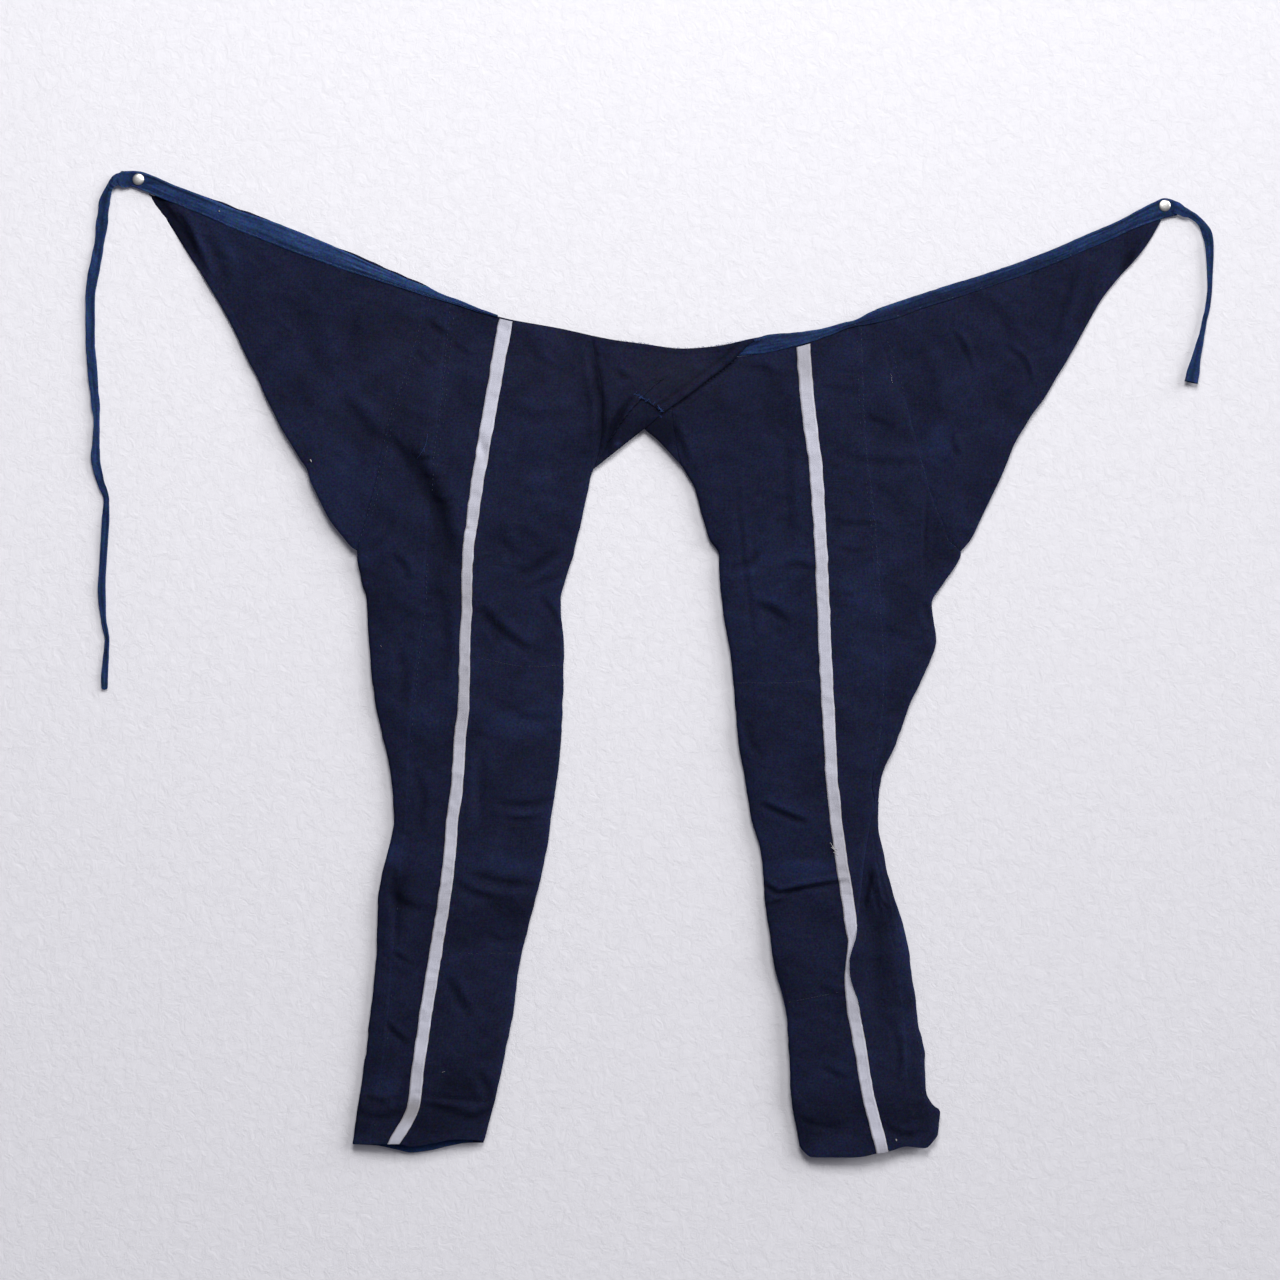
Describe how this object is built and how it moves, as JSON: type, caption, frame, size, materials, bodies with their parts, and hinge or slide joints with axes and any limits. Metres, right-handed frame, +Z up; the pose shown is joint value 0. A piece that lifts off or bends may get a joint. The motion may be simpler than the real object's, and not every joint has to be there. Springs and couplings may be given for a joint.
{
  "type": "momohiki trousers held on a wall by drawing pins",
  "caption": "Indigo cotton momohiki with crossing seat, spread triangular wings, pale side tapes, waistband and ties, pinned flat on a wall.",
  "frame": {"origin": "on the axis of the left drawing pin, where it enters the wall plane", "axes": "+X to the right as the trousers are seen, +Y into the wall, +Z up; the wall plane is Y = 0"},
  "size_m": [1.0735, 0.0245, 0.9368],
  "materials": {
    "indigo_cotton": "matte hand-dyed plain weave",
    "faded_indigo_cotton": "matte, washed lighter",
    "pale_tape": "matte pale grey cotton tape",
    "nickel_steel": "domed, softly polished"
  },
  "bodies": {
    "root": {"wing_left": "indigo_cotton", "wing_right": "indigo_cotton", "side_gusset_left": "indigo_cotton", "side_gusset_right": "indigo_cotton", "side_gusset_calf_right": "indigo_cotton", "outer_front_left": "indigo_cotton", "outer_front_right": "indigo_cotton", "outer_front_calf_right": "indigo_cotton", "inner_front_upper_left": "indigo_cotton", "inner_front_middle_left": "indigo_cotton", "inner_front_lower_left": "indigo_cotton", "inner_front_upper_right": "indigo_cotton", "inner_front_middle_right": "indigo_cotton", "inner_front_lower_right": "indigo_cotton", "leg_back_left": "indigo_cotton", "leg_back_right": "indigo_cotton", "hem_facing_left": "faded_indigo_cotton", "crotch_flap": "indigo_cotton", "crotch_gusset": "indigo_cotton", "crotch_under_right": "indigo_cotton", "tape_left": "pale_tape", "tape_right": "pale_tape", "waistband_left": "faded_indigo_cotton", "waistband_right": "faded_indigo_cotton", "waist_facing_left": "indigo_cotton", "tie_left": "faded_indigo_cotton", "tie_right": "faded_indigo_cotton", "pin_left": "nickel_steel", "pin_right": "nickel_steel"}
  },
  "joints": []
}
